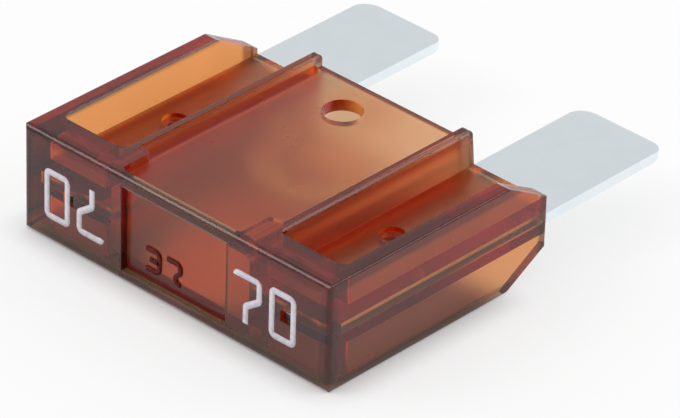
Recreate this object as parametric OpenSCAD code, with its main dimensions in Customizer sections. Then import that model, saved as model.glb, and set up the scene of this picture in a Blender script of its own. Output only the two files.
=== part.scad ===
// High-current automotive blade fuse of the 29 mm size: a moulded translucent housing
// around one stamped metal element. It lies on a broad face, with its label face
// towards -Y and its blades towards +Y. The origin is under the middle of its box.

/* [Housing] */
// Width of the housing, across both blades
body_w = 29.2; // [28.6:0.1:31]
// Length of the housing, from the label face to the blade end
body_l = 21.7; // [20.5:0.1:24]
// Thickness of the housing, from rim to rim
body_t = 8.5; // [8.2:0.1:10]
// Radius of the two upright corners beside the label face
corner_r = 0.4; // [0.3:0.1:1.2]
// Radius of the two long edges of the label face
front_r = 0.45; // [0.2:0.05:0.6]
// Radius of the other outer edges
edge_r = 0.2; // [0.1:0.05:0.5]
// Distance that the side walls drop at the blade end
end_drop = 2.3; // [1:0.1:2.5]
// Length over which the side walls drop
end_run = 4.1; // [2:0.1:6]

/* [Side pockets] */
// Depth of each pocket below the rim
pocket_d = 2.75; // [2:0.05:3]
// Thickness of the wall outside each pocket
side_wall = 1.3; // [1:0.05:1.6]
// Thickness of the bar between the label face and the pockets
head_bar = 2.5; // [2:0.1:3.5]
// Radius of the pocket corners in plan
pocket_r = 0.7; // [0.3:0.1:1.5]
// Width of the small bevel along the pocket rims
rim_bevel = 0.14; // [0.05:0.01:0.2]

/* [Centre chamber] */
// Width over the two ribs, at their tops
centre_w = 15; // [14.4:0.1:16]
// Draft of the centre block and of the pocket walls, on each side
draft = 0.25; // [0:0.05:0.4]
// Width of each rib
rib_w = 0.65; // [0.5:0.05:1]
// Radius of the free end of each rib, seen from the side
rib_end_r = 0.5; // [0.1:0.05:0.6]
// Distance from the rib tops down to the window panel
panel_drop = 0.7; // [0.3:0.05:0.9]
// Thickness of the window panel
panel_t = 0.9; // [0.7:0.05:1.2]
// Width of the rim in front of the window panel
panel_rim = 0.6; // [0.4:0.05:1]
// Distance that the window panel stops short of the blade end
panel_inset = 0.45; // [0.1:0.05:0.7]
// Width of the relief notch between the panel's end and each rib
notch_w = 0.35; // [0.2:0.05:0.6]
// Width of the pad in each front corner of the window panel
pad_w = 1.15; // [0.6:0.05:2]
// Length of those pads
pad_l = 2.95; // [1.5:0.05:5]
// Radius of the pads' free corners
pad_r = 0.4; // [0.2:0.05:0.5]
// Thickness of the chamber's side walls
chamber_wall = 0.9; // [0.8:0.05:1.1]
// Thickness of the wall between the label face and the chamber
head_wall = 1.35; // [1.1:0.05:1.8]
// Radius of the chamber's long inner edges
chamber_r = 0.6; // [0.2:0.1:1]

/* [Label face and holes] */
// Width of the label recess
label_w = 10; // [8:0.5:12]
// Margin between the label recess and the broad faces
label_margin = 0.9; // [0.6:0.1:1.5]
// Depth of the label recess
label_d = 0.45; // [0.2:0.05:0.6]
// Width of each probe slot
probe_w = 0.95; // [0.6:0.05:2]
// Sideways offset of both probe slots from the middles of their pockets
probe_shift = 0.2; // [-0.6:0.1:0.6]
// Radius of the vent hole in the upper panel
vent_r = 1.5; // [1:0.05:2]
// Sideways offset of the vent hole from the centre line
vent_x = -1.2; // [-1.6:0.1:1.6]
// Distance of the vent hole from the blade end
vent_inset = 3.85; // [3:0.05:6]

/* [Element] */
// Length from the label face to the blade tips
overall_l = 34.5; // [33:0.1:36]
// Thickness of the sheet metal
metal_t = 0.8; // [0.6:0.05:1]
// Width of each blade outside the housing
blade_w = 7.8; // [7.4:0.1:8.2]
// Distance of each blade's outer edge from the housing's side
blade_inset = 0.2; // [0.1:0.05:0.4]
// Radius of the blade tip corners
tip_r = 1.3; // [0.5:0.1:2.5]
// Length of the bevel at the blade tips
tip_bevel = 1.4; // [0.5:0.1:2]
// Thickness left at the very tip
tip_t = 0.45; // [0.2:0.05:0.55]
// Thickness of housing outside each shank
shank_cover = 1.05; // [0.9:0.05:1.3]
// Distance of the shanks' ends from the label face
shank_set = 1.7; // [1.6:0.05:2.4]
// Distance of the probe tabs' ends from the label face
tab_set = 0.35; // [0.2:0.05:1]
// Distance that the blade shoulders stand off the housing
shoulder_gap = 0.15; // [0.05:0.05:0.5]
// Clearance round the metal in the housing
fit_gap = 0.06; // [0.03:0.01:0.1]

/* [Fusing link] */
// Width of the link
link_w = 2.4; // [1.6:0.1:3]
// Thickness of the link
link_t = 0.4; // [0.2:0.05:0.6]
// Radius of the link's bend, at the middle of its width
link_r = 4.6; // [3.5:0.1:5]
// Distance of the bend's centre from the blade end of the housing
link_inset = 6.4; // [5:0.1:7.5]
// Width left at the link's neck
neck_w = 1.5; // [0.8:0.1:1.6]

/* [Staking] */
// Sideways offset of both stakes from the middles of their pockets
stake_shift = -0.4; // [-0.6:0.1:0.6]
// Distance of each stake from the label face
stake_y = 11; // [8:0.1:14]
// Radius of the plastic plug that fills the hole in the shank
stake_r = 0.95; // [0.6:0.05:1.2]
// Depth of the dimple that the tool leaves in the pocket floor
dimple_d = 0.85; // [0.4:0.05:0.9]

/* [Hidden] */
$fn = 64;
over = 1; // how far a cut runs past a face
join = 0.001; // overlap that joins two touching outlines
mid_z = body_t / 2;
centre_x = centre_w / 2;
chamber_x = centre_x - chamber_wall;
wall_x = body_w / 2 - side_wall;
floor_z = body_t - pocket_d;
panel_z = body_t - panel_drop;
ceiling_z = panel_z - panel_t;
blade_x = body_w / 2 - blade_inset;
blade_gap = 2 * (blade_x - blade_w);
shank_x = body_w / 2 - shank_cover;
channel_x = shank_x + fit_gap;
stake_x = (centre_x + wall_x) / 2;
panel_end = body_l - panel_inset;
channel_h = metal_t + 2 * fit_gap;
link_y = body_l - link_inset;
neck_r = 0.9; // radius of the two cuts that make the link's neck

// Moves what is drawn from the label face to the origin under the middle of the box
module place() {
    translate([0, -overall_l / 2, 0]) children();
}

// Draws a right and a left copy
module both_sides() {
    children();
    mirror([1, 0, 0]) children();
}

// Draws an upper and a lower copy about the middle plane
module both_faces() {
    children();
    translate([0, 0, body_t]) mirror([0, 0, 1]) children();
}

// Rectangle from the origin, with one corner radius along its low side and one along its high side
module round_rect(size, r_low, r_high) {
    translate([0, r_low]) square([size[0], size[1] - r_low - r_high]);
    translate([r_low, 0]) square([size[0] - 2 * r_low, size[1] / 2]);
    translate([r_high, size[1] / 2]) square([size[0] - 2 * r_high, size[1] / 2]);
    for (x = [r_low, size[0] - r_low]) translate([x, r_low]) circle(r = r_low);
    for (x = [r_high, size[0] - r_high]) translate([x, size[1] - r_high]) circle(r = r_high);
}

// Extrudes a shape drawn in X and Z along +Y
module along_y(from, to) {
    translate([0, to, 0]) rotate([90, 0, 0]) linear_extrude(to - from) children();
}

// Extrudes a shape drawn in Y and Z along +X
module along_x(from, to) {
    translate([from, 0, 0]) rotate([90, 0, 90]) linear_extrude(to - from) children();
}

// Outer block with rounded corners and edges
module block() {
    intersection() {
        linear_extrude(body_t) translate([-body_w / 2, 0]) round_rect([body_w, body_l], corner_r, edge_r);
        along_y(0, body_l) translate([-body_w / 2, 0]) round_rect([body_w, body_t], edge_r, edge_r);
        along_x(-body_w / 2, body_w / 2) mirror([1, -1]) round_rect([body_t, body_l], front_r, edge_r);
    }
}

// Section of one pocket: drafted sides, flat floor and a bevel along both rims
module pocket_section() {
    polygon([
        [centre_x + draft, floor_z],
        [wall_x - draft / 2, floor_z],
        [wall_x, body_t - rim_bevel],
        [wall_x + rim_bevel, body_t],
        [wall_x + rim_bevel, body_t + over],
        [centre_x - rim_bevel, body_t + over],
        [centre_x - rim_bevel, body_t],
        [centre_x, body_t - rim_bevel]
    ]);
}

// One pocket, open towards the blades and rounded at its two inner corners
module pocket() {
    left = centre_x - rim_bevel;
    right = wall_x + rim_bevel;
    intersection() {
        along_y(head_bar, body_l + over) pocket_section();
        translate([left, head_bar, 0]) linear_extrude(body_t + 2 * over)
            round_rect([right - left, body_l], pocket_r, pocket_r);
    }
}

// Plan of the recess over the window panel, with a pad left in each front corner
module recess_plan() {
    half = centre_x - rib_w;
    inner = half - pad_w;
    pad_end = panel_rim + pad_l;
    translate([-inner, panel_rim]) round_rect([2 * inner, body_l], pad_r, pad_r);
    translate([-half, pad_end]) square([2 * half, body_l]);
    for (side = [-1, 1]) difference() {
        translate([side * (inner + pad_r / 2), pad_end - pad_r / 2]) square(pad_r + join, center = true);
        translate([side * (inner + pad_r), pad_end - pad_r]) circle(r = pad_r);
    }
}

// Recess over the window panel, with the panel's free end and its relief notches
module panel_recess() {
    half = centre_x - rib_w;
    translate([0, 0, panel_z]) linear_extrude(panel_drop + over) recess_plan();
    translate([-half, panel_end, mid_z]) cube([2 * half, body_l, body_t]);
    for (side = [-1, 1]) translate([side * (half - notch_w / 2) - notch_w / 2, panel_end - notch_w, mid_z])
        cube([notch_w, body_l, body_t]);
}

// What the rounded free end of a rib leaves off its square corner
module rib_corner() {
    at = [body_l - rib_end_r, body_t - rib_end_r];
    along_x(centre_x - rib_w - join, centre_x + draft) difference() {
        translate(at) square(rib_end_r + over);
        translate(at) circle(r = rib_end_r);
    }
}

// Wedge that drops one side wall at the blade end
module end_wedge() {
    slope = end_drop / end_run;
    along_x(centre_x + draft, body_w / 2 + over) polygon([
        [body_l - end_run, body_t],
        [body_l + over, body_t - end_drop - slope * over],
        [body_l + over, body_t + over],
        [body_l - end_run, body_t + over]
    ]);
}

// Chamber round the link, open at the blade end
module chamber() {
    low = body_t - ceiling_z;
    along_y(head_wall, body_l + over) translate([-chamber_x, low])
        round_rect([2 * chamber_x, ceiling_z - low], chamber_r, chamber_r);
}

// Flat channel that the shanks are pushed into
module channel() {
    translate([-channel_x, shank_set - fit_gap, mid_z - channel_h / 2])
        cube([2 * channel_x, body_l, channel_h]);
}

// Shallow recess in the label face
module label_recess() {
    translate([-label_w / 2, -over, label_margin])
        cube([label_w, label_d + over, body_t - 2 * label_margin]);
}

// Slot through which a test probe reaches the tab of a shank
module probe_slot(side) {
    translate([side * stake_x + probe_shift - probe_w / 2, -over, mid_z - channel_h / 2])
        cube([probe_w, shank_set + over, channel_h]);
}

// Places a stake's shape in the right or the left pocket
module at_stake(side) {
    translate([side * stake_x + stake_shift, stake_y, 0]) children();
}

// Dimple left in a pocket floor by the staking tool, with a rounded bottom
module dimple() {
    translate([0, 0, floor_z - dimple_d]) {
        translate([0, 0, stake_r / 2]) cylinder(r = stake_r, h = pocket_d + dimple_d);
        intersection() {
            translate([0, 0, stake_r]) sphere(r = stake_r);
            cylinder(r = stake_r, h = stake_r);
        }
    }
}

// Plug of housing plastic that fills the hole in a shank
module stake_plug() {
    translate([0, 0, mid_z - channel_h]) cylinder(r = stake_r - fit_gap, h = 2 * channel_h);
}

// Hole in the upper window panel
module vent() {
    translate([vent_x, body_l - vent_inset, ceiling_z - over])
        cylinder(r = vent_r, h = panel_t + 2 * over);
}

module housing() {
    color([0.55, 0.25, 0.18, 0.7]) place() {
        difference() {
            block();
            both_faces() {
                both_sides() {
                    pocket();
                    rib_corner();
                    end_wedge();
                }
                for (side = [-1, 1]) at_stake(side) dimple();
                panel_recess();
            }
            chamber();
            channel();
            label_recess();
            for (side = [-1, 1]) probe_slot(side);
            vent();
        }
        for (side = [-1, 1]) at_stake(side) stake_plug();
    }
}

// Plan of one blade and its shank, with the shoulder that stays outside the housing
module blade_plan() {
    shoulder_y = body_l + shoulder_gap;
    translate([blade_gap / 2, shank_set]) square([shank_x - blade_gap / 2, body_l + over - shank_set]);
    translate([blade_gap / 2, shoulder_y]) round_rect([blade_w, overall_l - shoulder_y], edge_r, tip_r);
}

// Thickness of a blade along its length, thinned at the tip
module blade_side() {
    low = mid_z - metal_t / 2;
    high = mid_z + metal_t / 2;
    polygon([
        [0, low],
        [overall_l - tip_bevel, low],
        [overall_l, mid_z - tip_t / 2],
        [overall_l, mid_z + tip_t / 2],
        [overall_l - tip_bevel, high],
        [0, high]
    ]);
}

module blade() {
    intersection() {
        linear_extrude(body_t) blade_plan();
        along_x(0, body_w) blade_side();
    }
}

// Tab at a shank's end, on which a test probe is put
module probe_tab(side) {
    width = probe_w - 2 * fit_gap;
    translate([side * stake_x + probe_shift - width / 2, tab_set, mid_z - metal_t / 2])
        cube([width, shank_set + over - tab_set, metal_t]);
}

// Plan of the link: half a ring with a foot to each shank, and a neck at the bend's middle
module link_plan() {
    inner = link_r - link_w / 2;
    outer = link_r + link_w / 2;
    notch = (link_w - neck_w) / 2;
    difference() {
        union() {
            intersection() {
                circle(r = outer);
                translate([-outer, -outer]) square([2 * outer, outer]);
            }
            translate([-blade_gap / 2, 0]) square([blade_gap, link_w]);
        }
        circle(r = inner);
        translate([-inner, 0]) square([2 * inner, link_w + over]);
        for (y = [-inner + neck_r - notch, -outer - neck_r + notch]) translate([0, y]) circle(r = neck_r);
    }
}

module fuse_element() {
    color([0.8, 0.83, 0.84]) place() {
        difference() {
            union() {
                both_sides() blade();
                for (side = [-1, 1]) probe_tab(side);
            }
            for (side = [-1, 1]) at_stake(side) cylinder(r = stake_r, h = body_t);
        }
        translate([0, link_y, mid_z - link_t / 2]) linear_extrude(link_t) link_plan();
    }
}

housing();
fuse_element();
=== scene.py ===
import math
import bpy
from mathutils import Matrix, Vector


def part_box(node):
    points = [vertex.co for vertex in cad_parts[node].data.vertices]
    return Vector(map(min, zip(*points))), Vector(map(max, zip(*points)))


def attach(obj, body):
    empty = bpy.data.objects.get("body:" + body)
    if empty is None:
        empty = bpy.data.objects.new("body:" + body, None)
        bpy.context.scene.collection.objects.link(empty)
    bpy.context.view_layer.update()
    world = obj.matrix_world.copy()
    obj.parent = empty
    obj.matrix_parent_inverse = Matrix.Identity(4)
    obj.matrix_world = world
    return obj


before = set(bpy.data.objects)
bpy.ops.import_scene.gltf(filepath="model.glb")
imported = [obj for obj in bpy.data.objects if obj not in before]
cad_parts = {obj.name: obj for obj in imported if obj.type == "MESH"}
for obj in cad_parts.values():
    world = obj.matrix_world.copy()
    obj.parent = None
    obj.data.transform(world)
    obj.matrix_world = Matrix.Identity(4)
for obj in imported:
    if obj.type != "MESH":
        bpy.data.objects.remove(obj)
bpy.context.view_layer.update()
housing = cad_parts["housing"]
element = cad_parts["fuse_element"]
housingLow, housingHigh = [Vector(corner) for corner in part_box("housing")]
mm = 0.001
white = (1.0, 1.0, 1.0)
labelY = housingLow.y  # the label face
midZ = (housingLow.z + housingHigh.z) / 2
print("frame loaded, housing", [round(v / mm, 2) for v in (housingHigh - housingLow)])


def metres(values):
    # the dictionaries give sizes and places in millimetres
    return [v * mm for v in values]


# material helpers

def newMaterial(name):
    mat = bpy.data.materials.new(name)
    mat.use_nodes = True
    tree = mat.node_tree
    tree.nodes.clear()
    out = tree.nodes.new("ShaderNodeOutputMaterial")
    return mat, tree, out


def feed(tree, value, slot):
    # wires another node's output to an input, or sets the input to a fixed value
    if isinstance(value, bpy.types.NodeSocket):
        tree.links.new(value, slot)
    else:
        slot.default_value = value


def principled(tree, out, values):
    # a Principled shader with these inputs set, wired to the material's output
    shader = tree.nodes.new("ShaderNodeBsdfPrincipled")
    for name, value in values.items():
        shader.inputs[name].default_value = value
    feed(tree, shader.outputs["BSDF"], out.inputs["Surface"])
    return shader


def objectCoords(tree, scale=(1, 1, 1)):
    coords = tree.nodes.new("ShaderNodeTexCoord")
    mapping = tree.nodes.new("ShaderNodeMapping")
    mapping.inputs["Scale"].default_value = scale
    feed(tree, coords.outputs["Object"], mapping.inputs["Vector"])
    return mapping.outputs["Vector"]


def splitCoords(tree):
    split = tree.nodes.new("ShaderNodeSeparateXYZ")
    feed(tree, objectCoords(tree), split.inputs["Vector"])
    return split.outputs


def noise(tree, vector, scale, detail=3.0, rough=0.5):
    node = tree.nodes.new("ShaderNodeTexNoise")
    node.inputs["Scale"].default_value = scale
    node.inputs["Detail"].default_value = detail
    node.inputs["Roughness"].default_value = rough
    feed(tree, vector, node.inputs["Vector"])
    return node.outputs["Fac"]


def mapRange(tree, value, fromMin, fromMax, toMin, toMax, smooth=False):
    node = tree.nodes.new("ShaderNodeMapRange")
    if smooth:
        node.interpolation_type = "SMOOTHSTEP"
    node.inputs["From Min"].default_value = fromMin
    node.inputs["From Max"].default_value = fromMax
    node.inputs["To Min"].default_value = toMin
    node.inputs["To Max"].default_value = toMax
    feed(tree, value, node.inputs["Value"])
    return node.outputs["Result"]


def mathNode(tree, operation, *values):
    node = tree.nodes.new("ShaderNodeMath")
    node.operation = operation
    for slot, value in zip(node.inputs, values):
        feed(tree, value, slot)
    return node.outputs["Value"]


def product(tree, a, b):
    return mathNode(tree, "MULTIPLY", a, b)


def between(tree, value, low, high):
    # 1 where the value lies between low and high, 0 elsewhere
    return product(tree, mathNode(tree, "GREATER_THAN", value, low), mathNode(tree, "LESS_THAN", value, high))


def mixed(tree, mask, a, b, kind="RGBA"):
    # a where the mask is 0, b where it is 1
    node = tree.nodes.new("ShaderNodeMix")
    node.data_type = kind
    feed(tree, mask, node.inputs["Factor"])
    feed(tree, a, node.inputs["A"])
    feed(tree, b, node.inputs["B"])
    return node.outputs["Result"]


def opaque(colour):
    return (*colour, 1.0)


def ramp(tree, value, ends, colours):
    # the first colour up to the first end, the second from the second end on
    node = tree.nodes.new("ShaderNodeValToRGB")
    for stop, position, colour in zip(node.color_ramp.elements, ends, colours):
        stop.position = position
        stop.color = opaque(colour)
    feed(tree, value, node.inputs["Fac"])
    return node.outputs["Color"]


def bump(tree, pattern, strength, height, under=None):
    node = tree.nodes.new("ShaderNodeBump")
    node.inputs["Strength"].default_value = strength
    node.inputs["Distance"].default_value = height * mm
    feed(tree, pattern, node.inputs["Height"])
    if under:
        feed(tree, under, node.inputs["Normal"])
    return node.outputs["Normal"]


def speckled(tree, shader, look):
    # fine specks between two colours, with a slight relief of their own
    specks = noise(tree, objectCoords(tree), look["speckScale"])
    colour = ramp(tree, specks, look["speckRange"], (look["dark"], look["light"]))
    feed(tree, colour, shader.inputs["Base Color"])
    feed(tree, bump(tree, specks, **look["speckBump"]), shader.inputs["Normal"])


# tinted plastic of the housing, with painted shade in some zones

plasticLook = {
    "ior": 1.52,
    "absorbColour": (0.95, 0.56, 0.05),
    "absorbPerMm": 1.3,
    "surfaceTint": ((0.96, 0.90, 0.88), (0.99, 0.93, 0.91)),  # slight clouding of the surface
    "skin": (0.30, 0.36),  # a point less deep than this inside the housing's box is on an outer face
    "sideSkin": 0.4,  # and less deep than this inside its sides, on a side face
    "broadShadeTint": (0.68, 0.88, 0.95),  # painted shade: a bluish tone that holds back the red of the outer faces, apart from the two sides
    "bandShadeTint": (0.80, 0.90, 0.95),  # painted shade half-way up both sides, where the metal is close behind
    "bandWidth": (0.5, 1.0),  # it fades between these distances from the middle plane
    "edgeShadeTint": (0.24, 0.15, 0.17),  # painted shade on the rounded outer edges, which turn the light away
    "edgeWidth": (0.65, 1.0),
    "recessShadowTint": (0.12, 0.05, 0.05),  # painted shadow on the left upright side of the label recess
    "recessShadowZone": (-5.12, -4.85, 0.5),  # from and to across, and depth from the label face
    "ribShadeTint": (0.5, 0.38, 0.40),  # painted shade on the tops of the ribs
    "ribZone": (6.6, 7.8, 3.95),  # from and to across, and up from the middle plane
    "wallShadeTint": (1.0, 0.50, 0.42),  # painted shade: a deeper orange on the steep walls between the pockets and the chamber
    "wallZone": (7.3, 7.85),  # from and to across
    "wallRoughness": 0.72,
    "outerRoughness": (0.08, 0.14),  # the polished outside of the mould
    "innerRoughness": (0.26, 0.34),  # the satin faces of the pockets, the panel and the chamber
    "cloud": {"scale": 270.0, "detail": 4.0},
    "cloudRange": (0.3, 0.7),
    "wave": {"scale": 90.0, "detail": 2.0},
    "waveBump": {"strength": 0.12, "height": 0.15},
    "grain": {"scale": 900.0, "detail": 2.0},
    "grainBump": {"strength": 0.02, "height": 0.03},
}


def fromMiddlePlanes(tree, low, high):
    # distances of a point from the middle planes of a box, and how far inside its faces it lies
    coords = splitCoords(tree)
    away, inside = [], []
    for axis, a, b in zip("XYZ", low, high):
        away.append(mathNode(tree, "ABSOLUTE", mathNode(tree, "SUBTRACT", coords[axis], (a + b) / 2)))
        inside.append(mathNode(tree, "SUBTRACT", (b - a) / 2, away[-1]))
    return away, inside


def recessShadowMask(tree):
    # mask of the painted shadow on the left upright side of the label recess
    left, right, depth = metres(plasticLook["recessShadowZone"])
    away, inside = fromMiddlePlanes(tree, (left, labelY), (right, labelY))
    across = mathNode(tree, "GREATER_THAN", inside[0], 0.0)
    return product(tree, across, mathNode(tree, "LESS_THAN", away[1], depth))


def housingZones(tree):
    # masks of the outer faces and of the steep inner walls, and all the painted shade tints with their masks
    look = plasticLook
    away, (fromSide, fromEnd, fromBroad) = fromMiddlePlanes(tree, housingLow, housingHigh)
    less = mathNode(tree, "MINIMUM", fromSide, fromEnd)
    more = mathNode(tree, "MAXIMUM", fromSide, fromEnd)
    nearest = mathNode(tree, "MINIMUM", less, fromBroad)
    second = mathNode(tree, "MAXIMUM", less, mathNode(tree, "MINIMUM", more, fromBroad))
    outside = mapRange(tree, nearest, *metres(look["skin"]), 1, 0)
    broad = product(tree, outside, mathNode(tree, "GREATER_THAN", fromSide, look["sideSkin"] * mm))
    level = mapRange(tree, away[2], *metres(look["bandWidth"]), 1, 0)
    band = product(tree, level, mathNode(tree, "LESS_THAN", fromSide, look["sideSkin"] * mm))
    edges = mapRange(tree, second, *metres(look["edgeWidth"]), 1, 0)
    ribFrom, ribTo, ribUp = metres(look["ribZone"])
    ribs = between(tree, away[0], ribFrom, ribTo)
    ribs = product(tree, ribs, mathNode(tree, "GREATER_THAN", away[2], ribUp))
    walls = between(tree, away[0], *metres(look["wallZone"]))
    walls = product(tree, walls, mathNode(tree, "SUBTRACT", 1.0, outside))
    # tints of painted shade, each with its mask
    paintedShades = [(broad, look["broadShadeTint"]), (band, look["bandShadeTint"]), (edges, look["edgeShadeTint"]),
             (recessShadowMask(tree), look["recessShadowTint"]), (ribs, look["ribShadeTint"]), (walls, look["wallShadeTint"])]
    return outside, walls, paintedShades


def makePlastic():
    look = plasticLook
    mat, tree, out = newMaterial("housingPlastic")
    shader = principled(tree, out, {"Transmission Weight": 1.0, "IOR": look["ior"]})
    place = objectCoords(tree)
    cloud = noise(tree, place, **look["cloud"])
    outside, walls, paintedShades = housingZones(tree)
    colour = ramp(tree, cloud, look["cloudRange"], look["surfaceTint"])
    # painted shade tints laid over the clouded colour, each in its own zone
    for mask, tint in paintedShades:
        colour = mixed(tree, mask, colour, opaque(tint))
    feed(tree, colour, shader.inputs["Base Color"])
    satin = mapRange(tree, cloud, *look["cloudRange"], *reversed(look["innerRoughness"]))
    polished = mapRange(tree, cloud, *look["cloudRange"], *reversed(look["outerRoughness"]))
    smooth = mixed(tree, outside, satin, polished, "FLOAT")
    hazy = product(tree, walls, look["wallRoughness"])
    feed(tree, mathNode(tree, "MAXIMUM", smooth, hazy), shader.inputs["Roughness"])
    wave = bump(tree, noise(tree, place, **look["wave"]), **look["waveBump"])
    grain = bump(tree, noise(tree, place, **look["grain"]), **look["grainBump"], under=wave)
    feed(tree, grain, shader.inputs["Normal"])
    absorb = tree.nodes.new("ShaderNodeVolumeAbsorption")
    absorb.inputs["Color"].default_value = opaque(look["absorbColour"])
    absorb.inputs["Density"].default_value = look["absorbPerMm"] / mm
    feed(tree, absorb.outputs["Volume"], out.inputs["Volume"])
    return mat


# plated sheet metal of the element, with painted shade on its edges inside the housing

metalLook = {
    "light": (0.875, 0.94, 0.98),
    "dark": (0.85, 0.915, 0.955),
    "roughness": (0.28, 0.42),
    "shadedEdge": (0.10, 0.075, 0.08),  # painted shade on the lower part of the punched edges inside the housing
    "shadedEdgeFrom": -0.39,  # below and above the middle of the sheet
    "shadedEdgeTo": 0.12,
    "shadedEdgeInset": 0.5,  # it begins this far inside the blade end
    "streaks": {"scale": 1040.0, "detail": 5.0, "rough": 0.6},
    "streakStretch": (1.0, 0.12, 1.0),  # they run along the blades
    "streakRange": (0.3, 0.7),
    "streakBump": {"strength": 0.15, "height": 0.02},
    "spots": {"scale": 420.0, "detail": 4.0, "rough": 0.6},
    "spotRange": (0.25, 0.6),
    "spotBump": {"strength": 0.1, "height": 0.04},
}


def makeMetal():
    look = metalLook
    mat, tree, out = newMaterial("platedMetal")
    shader = principled(tree, out, {"Metallic": 1.0})
    streaks = noise(tree, objectCoords(tree, look["streakStretch"]), **look["streaks"])
    spots = noise(tree, objectCoords(tree), **look["spots"])
    coords = splitCoords(tree)
    inHousing = mathNode(tree, "LESS_THAN", coords["Y"], housingHigh.y - look["shadedEdgeInset"] * mm)
    levels = (midZ + look["shadedEdgeFrom"] * mm, midZ + look["shadedEdgeTo"] * mm)
    # painted shade on the lower part of the edges, where the housing covers them
    shadedEdge = product(tree, inHousing, between(tree, coords["Z"], *levels))
    plating = ramp(tree, spots, look["spotRange"], (look["dark"], look["light"]))
    feed(tree, mixed(tree, shadedEdge, plating, opaque(look["shadedEdge"])), shader.inputs["Base Color"])
    feed(tree, mapRange(tree, streaks, *look["streakRange"], *look["roughness"]), shader.inputs["Roughness"])
    fine = bump(tree, streaks, **look["streakBump"])
    feed(tree, bump(tree, spots, **look["spotBump"], under=fine), shader.inputs["Normal"])
    return mat


# white print of the rating digits

inkLook = {
    "light": (0.80, 0.77, 0.84),
    "dark": (0.66, 0.62, 0.69),  # where the print is thin
    "roughness": 0.5,
    "speckScale": 2600.0,
    "speckRange": (0.3, 0.55),
    "speckBump": {"strength": 0.2, "height": 0.01},
}


def makeInk():
    mat, tree, out = newMaterial("whiteInk")
    shader = principled(tree, out, {"Roughness": inkLook["roughness"]})
    speckled(tree, shader, inkLook)
    return mat


# the moulded figures: the same plastic, painted dark all over for the shade of their steep sides, which turn
# the light away

figureLook = {
    "light": (0.17, 0.016, 0.010),
    "dark": (0.10, 0.009, 0.006),
    "roughness": 0.55,
    "clear": 0.1,  # share of the light that goes through
    "gloss": 0.15,
    "speckScale": 1500.0,
    "speckRange": (0.35, 0.65),
    "speckBump": {"strength": 0.1, "height": 0.02},
}


def makeShadedFigurePlastic():
    look = figureLook
    mat, tree, out = newMaterial("shadedFigurePlastic")
    shader = principled(tree, out, {"Transmission Weight": look["clear"], "Specular IOR Level": look["gloss"],
                                    "IOR": plasticLook["ior"], "Roughness": look["roughness"]})
    speckled(tree, shader, look)
    return mat


plastic = makePlastic()
metal = makeMetal()
ink = makeInk()
shadedFigurePlastic = makeShadedFigurePlastic()
for node, mat in ((housing, plastic), (element, metal)):
    for slot in node.material_slots:
        slot.material = mat
print("materials on the two CAD nodes")


# digits: strokes that follow a path, made with Geometry Nodes

strokeDetail = {
    "cornerSteps": 6,
    "endSides": 20,
    "sizes": {"Stroke Width": 0.4, "Stroke Thickness": 0.02, "Corner Radius": 0.3},  # each piece sets its own
}


def strokeTree(name, mat):
    tree = bpy.data.node_groups.new(name, "GeometryNodeTree")
    face = tree.interface
    face.new_socket("Geometry", in_out="INPUT", socket_type="NodeSocketGeometry")
    sizes = {}
    for label, value in strokeDetail["sizes"].items():
        socket = face.new_socket(label, in_out="INPUT", socket_type="NodeSocketFloat")
        socket.default_value = value * mm
        sizes[label] = socket.identifier
    face.new_socket("Geometry", in_out="OUTPUT", socket_type="NodeSocketGeometry")
    nodes = tree.nodes
    start, end = nodes.new("NodeGroupInput"), nodes.new("NodeGroupOutput")
    fillet = nodes.new("GeometryNodeFilletCurve")
    fillet.mode = "POLY"
    fillet.inputs["Count"].default_value = strokeDetail["cornerSteps"]
    fillet.inputs["Limit Radius"].default_value = True
    profile = nodes.new("GeometryNodeCurvePrimitiveQuadrilateral")
    sweep = nodes.new("GeometryNodeCurveToMesh")
    sweep.inputs["Fill Caps"].default_value = True
    ends = nodes.new("GeometryNodeCurveEndpointSelection")
    points = nodes.new("GeometryNodeCurveToPoints")
    points.mode = "EVALUATED"
    half = nodes.new("ShaderNodeMath")  # from a stroke's width to the radius of its round ends
    half.operation = "MULTIPLY"
    half.inputs[1].default_value = 0.5
    disc = nodes.new("GeometryNodeMeshCylinder")
    disc.inputs["Vertices"].default_value = strokeDetail["endSides"]
    put = nodes.new("GeometryNodeInstanceOnPoints")
    join = nodes.new("GeometryNodeJoinGeometry")
    real = nodes.new("GeometryNodeRealizeInstances")
    paint = nodes.new("GeometryNodeSetMaterial")
    paint.inputs["Material"].default_value = mat
    wire = tree.links.new
    wire(start.outputs["Geometry"], fillet.inputs["Curve"])
    wire(start.outputs["Corner Radius"], fillet.inputs["Radius"])
    wire(start.outputs["Stroke Width"], profile.inputs["Width"])
    wire(start.outputs["Stroke Thickness"], profile.inputs["Height"])
    wire(fillet.outputs["Curve"], sweep.inputs["Curve"])
    wire(profile.outputs["Curve"], sweep.inputs["Profile Curve"])
    wire(fillet.outputs["Curve"], points.inputs["Curve"])
    wire(start.outputs["Stroke Width"], half.inputs[0])
    wire(half.outputs["Value"], disc.inputs["Radius"])
    wire(start.outputs["Stroke Thickness"], disc.inputs["Depth"])
    wire(points.outputs["Points"], put.inputs["Points"])
    wire(ends.outputs["Selection"], put.inputs["Selection"])
    wire(disc.outputs["Mesh"], put.inputs["Instance"])
    wire(sweep.outputs["Mesh"], join.inputs["Geometry"])
    wire(put.outputs["Instances"], join.inputs["Geometry"])
    wire(join.outputs["Geometry"], real.inputs["Geometry"])
    wire(real.outputs["Geometry"], paint.inputs["Geometry"])
    wire(paint.outputs["Geometry"], end.inputs["Geometry"])
    return tree, sizes


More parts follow.
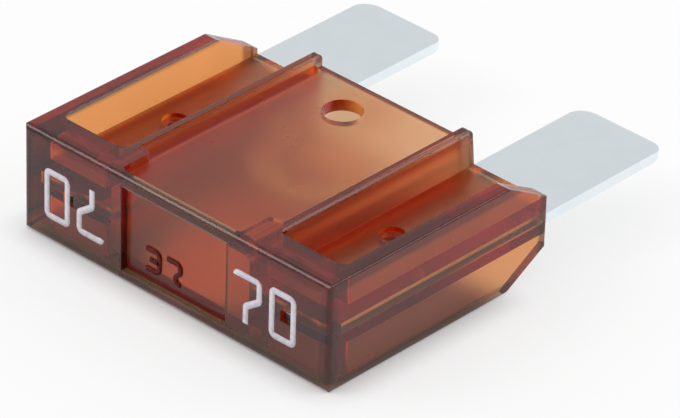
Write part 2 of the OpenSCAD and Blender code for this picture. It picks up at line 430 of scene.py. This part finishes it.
def makeStrokes(name, paths, tree, sizes, look, place):
    # one plain mesh of all the paths, laid flat first and then put where it belongs
    curve = bpy.data.curves.new(name + "Path", "CURVE")
    curve.dimensions = "3D"
    for closed, path in paths:
        line = curve.splines.new("POLY")
        line.points.add(len(path) - 1)
        line.use_cyclic_u = closed
        for point, (across, up) in zip(line.points, path):
            point.co = (across * mm, up * mm, 0.0, 1.0)
    pen = bpy.data.objects.new(name + "Path", curve)
    bpy.context.collection.objects.link(pen)
    change = pen.modifiers.new("strokes", "NODES")
    change.node_group = tree
    change[sizes["Stroke Width"]] = look["stroke"] * mm
    change[sizes["Stroke Thickness"]] = look["thickness"] * mm
    change[sizes["Corner Radius"]] = look["corner"] * mm
    bpy.context.view_layer.update()
    mesh = bpy.data.meshes.new_from_object(pen.evaluated_get(bpy.context.evaluated_depsgraph_get()))
    pen.modifiers.clear()
    bpy.data.objects.remove(pen)
    for vertex in mesh.vertices:
        vertex.co = place(vertex.co)
    mesh.name = name
    piece = bpy.data.objects.new(name, mesh)
    bpy.context.collection.objects.link(piece)
    return piece


# places across and up from the middle of the label face
rating = {
    "seven": [(5.95, 1.28), (5.95, 1.55), (8.15, 1.55), (8.15, 0.06), (6.9, -0.82), (6.9, -2.2)],
    "zero": [(9.33, 1.66), (11.33, 1.66), (11.33, -1.88), (9.33, -1.88)],
    "stroke": 0.5,
    "thickness": 0.012,
    "corner": 0.3,
    "turnedShift": (-0.95, -0.46),  # the print on the left sits a little out and down
}


def onLabel(co):
    return Vector((co.x, labelY - co.z, midZ + co.y))


def onLabelTurned(co):
    across, up = metres(rating["turnedShift"])
    return Vector((across - co.x, labelY - co.z, midZ + up - co.y))


inkTree, inkSizes = strokeTree("printedStrokes", ink)
digitPaths = [(False, rating["seven"]), (True, rating["zero"])]
for name, place in (("ratingRight", onLabel), ("ratingLeft", onLabelTurned)):
    piece = makeStrokes(name, digitPaths, inkTree, inkSizes, rating, place)
    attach(piece, "root")
print("rating digits printed")

# plain figures moulded on the floor of the label recess
figures = {
    "three": [(-2.95, -0.8), (-1.7, -0.8), (-1.7, -2.4), (-2.95, -2.4)],
    "bar": [(-2.6, -1.6), (-1.7, -1.6)],
    "two": [(-0.95, -0.8), (0.3, -0.8), (0.3, -1.55), (-0.95, -2.4), (0.3, -2.4)],
    "stroke": 0.34,
    "thickness": 0.2,
    "corner": 0.35,
    "recess": 0.45,  # depth of the recess's floor
}


def onRecess(co):
    return Vector((co.x, labelY + figures["recess"] * mm - co.z, midZ + co.y))


figureTree, figureSizes = strokeTree("mouldedStrokes", shadedFigurePlastic)
figurePaths = [(False, figures[name]) for name in ("three", "bar", "two")]
piece = makeStrokes("recessFigures", figurePaths, figureTree, figureSizes, figures, onRecess)
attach(piece, "root")
print("plain figures in the label recess")


# stage, light and camera

floorLook = {
    "halfSize": 3.0,  # in metres
    "colour": (0.95, 0.95, 0.95),
    "glow": 0.7,  # share of its own white in what is seen of the floor
    "under": 0.05,  # share of the glow that is left under the part, where a shadow is painted
    "shadeFrom": -1.2,  # the glow comes back between these distances outside the footprint, so the painted shadow fades
    "shadeTo": 2.8,
    "shadeRound": 3.0,  # rounds the corners of that stretch
    "openEnd": 5.2,  # length at the blade end where light reaches under the part
    # painted light that reaches the floor through the plastic, as ovals: middle, half size and share at full
    # strength
    "behindChamber": {"middle": (-7.9, 9.5), "half": (4.6, 3.9), "core": 0.15, "tint": (0.70, 0.42, 0.25)},
    "underChamber": {"middle": (-0.75, -8.4), "half": (6.6, 8.8), "core": 0.45, "tint": (0.95, 0.38, 0.24)},
    # share of the painted orange glow on the floor under the chamber
    "underGlow": 0.55,
}


def rayIsSeen(tree):
    # 1 for what the camera sees, straight, mirrored or through the plastic
    path = tree.nodes.new("ShaderNodeLightPath")
    value = path.outputs["Is Camera Ray"]
    for kind in ("Is Glossy Ray", "Is Transmission Ray"):
        value = mathNode(tree, "MAXIMUM", value, path.outputs[kind])
    return value


def pastFootprint(tree):
    # the share of the floor's glow, which is low under the housing and full outside its footprint: a painted
    # shadow of the part
    look = floorLook
    high = (housingHigh.x, housingHigh.y - look["openEnd"] * mm)
    inside = fromMiddlePlanes(tree, housingLow[:2], high)[1]
    both = mathNode(tree, "SMOOTH_MIN", *inside, look["shadeRound"] * mm)
    shadeFrom, shadeTo = metres((-look["shadeFrom"], -look["shadeTo"]))
    return mapRange(tree, both, shadeFrom, shadeTo, look["under"], 1, smooth=True)


def patchMask(tree, patch):
    # 1 in the core of an oval patch of painted light on the floor, 0 from its rim outwards
    middle = metres(patch["middle"])
    sides = zip(fromMiddlePlanes(tree, middle, middle)[0], metres(patch["half"]))
    squares = [mathNode(tree, "POWER", mathNode(tree, "DIVIDE", away, half), 2.0) for away, half in sides]
    return mapRange(tree, mathNode(tree, "ADD", *squares), patch["core"], 1, 1, 0, smooth=True)


def makeFloor():
    look = floorLook
    mesh = bpy.data.meshes.new("floor")
    s = look["halfSize"]
    mesh.from_pydata([(-s, -s, 0), (s, -s, 0), (s, s, 0), (-s, s, 0)], [], [(0, 1, 2, 3)])
    floor = bpy.data.objects.new("floor", mesh)
    bpy.context.collection.objects.link(floor)
    mat, tree, out = newMaterial("paper")
    paper = tree.nodes.new("ShaderNodeBsdfDiffuse")
    shine = tree.nodes.new("ShaderNodeEmission")
    # painted light: tinted ovals on the floor where light comes through the plastic
    behind, under = look["behindChamber"]["tint"], look["underChamber"]["tint"]
    behindMask, underMask = patchMask(tree, look["behindChamber"]), patchMask(tree, look["underChamber"])
    feed(tree, mixed(tree, behindMask, opaque(look["colour"]), opaque(behind)), paper.inputs["Color"])
    shineColour = mixed(tree, behindMask, opaque(white), opaque(behind))
    feed(tree, mixed(tree, underMask, shineColour, opaque(under)), shine.inputs["Color"])
    # the glow falls away under the part as a painted shadow
    glow = product(tree, pastFootprint(tree), look["glow"])
    share = mathNode(tree, "MAXIMUM", glow, product(tree, underMask, look["underGlow"]))
    mix = tree.nodes.new("ShaderNodeMixShader")
    feed(tree, product(tree, rayIsSeen(tree), share), mix.inputs["Fac"])
    feed(tree, paper.outputs["BSDF"], mix.inputs[1])
    feed(tree, shine.outputs["Emission"], mix.inputs[2])
    feed(tree, mix.outputs["Shader"], out.inputs["Surface"])
    mesh.materials.append(mat)


worldLook = {
    "fill": 1.05,  # strength as a source of light
    "mirrored": 0.70,  # strength in reflections and through the plastic
    "darkSide": (0.677, -0.736, 0.0),  # the unlit side of the studio, behind the camera
    "darkShare": 0.2,  # share of the light that is left there
    "darkFrom": 0.15,  # cosines of the angle to that side between which it fades
    "darkTo": 0.65,
}


def makeWorld():
    look = worldLook
    world = bpy.data.worlds.new("studio")
    bpy.context.scene.world = world
    world.use_nodes = True
    tree = world.node_tree
    back = tree.nodes["Background"]
    back.inputs["Color"].default_value = opaque(white)
    strength = mapRange(tree, rayIsSeen(tree), 0, 1, look["fill"], look["mirrored"])
    toward = tree.nodes.new("ShaderNodeVectorMath")
    toward.operation = "DOT_PRODUCT"
    toward.inputs[1].default_value = look["darkSide"]
    feed(tree, tree.nodes.new("ShaderNodeTexCoord").outputs["Generated"], toward.inputs[0])
    shade = mapRange(tree, toward.outputs["Value"], look["darkFrom"], look["darkTo"], 1, look["darkShare"])
    path = tree.nodes.new("ShaderNodeLightPath")
    lit = mathNode(tree, "MAXIMUM", product(tree, strength, shade), path.outputs["Is Camera Ray"])
    feed(tree, lit, back.inputs["Strength"])


lampSet = [  # places and sizes in metres, and each lamp faces the origin
    {"name": "keyLamp", "from": (-0.40, -0.37, 0.44), "size": 0.3, "watts": 0.9},
    {"name": "rimLamp", "from": (0.37, 0.44, 0.40), "size": 0.25, "watts": 0.4},
]


def makeLamps():
    for lamp in lampSet:
        light = bpy.data.lights.new(lamp["name"], "AREA")
        light.size = lamp["size"]
        light.energy = lamp["watts"]
        body = bpy.data.objects.new(lamp["name"], light)
        body.location = lamp["from"]
        body.rotation_euler = (-Vector(lamp["from"])).to_track_quat("-Z", "Y").to_euler()
        bpy.context.collection.objects.link(body)


cameraSet = {
    "aim": (3.034, -3.98, 3.629),  # in millimetres, as is the distance
    "distance": 392.93,
    "azimuth": -47.37,
    "elevation": 32.008,
    "roll": 1.738,
    "lens": 301.49,
    "sensor": 36.0,
    "clip": (0.01, 20.0),  # in metres
}


def makeCamera():
    look = cameraSet
    az, el, roll = (math.radians(look[name]) for name in ("azimuth", "elevation", "roll"))
    toward = -Vector((math.cos(el) * math.cos(az), math.cos(el) * math.sin(az), math.sin(el)))
    side = toward.cross(Vector((0, 0, 1))).normalized()
    up = side.cross(toward)
    right = side * math.cos(roll) + up * math.sin(roll)
    top = up * math.cos(roll) - side * math.sin(roll)
    data = bpy.data.cameras.new("camera")
    data.sensor_width = look["sensor"]
    data.lens = look["lens"]
    data.clip_start, data.clip_end = look["clip"]
    camera = bpy.data.objects.new("camera", data)
    spot = (Vector(look["aim"]) - toward * look["distance"]) * mm
    columns = (right, top, -toward, spot)
    for c, column in enumerate(columns):
        for r in range(3):
            camera.matrix_world[r][c] = column[r]
    bpy.context.collection.objects.link(camera)
    bpy.context.scene.camera = camera


makeFloor()
makeWorld()
makeLamps()
makeCamera()
bpy.context.scene.view_settings.view_transform = "Standard"
print("stage, lamps and camera placed")
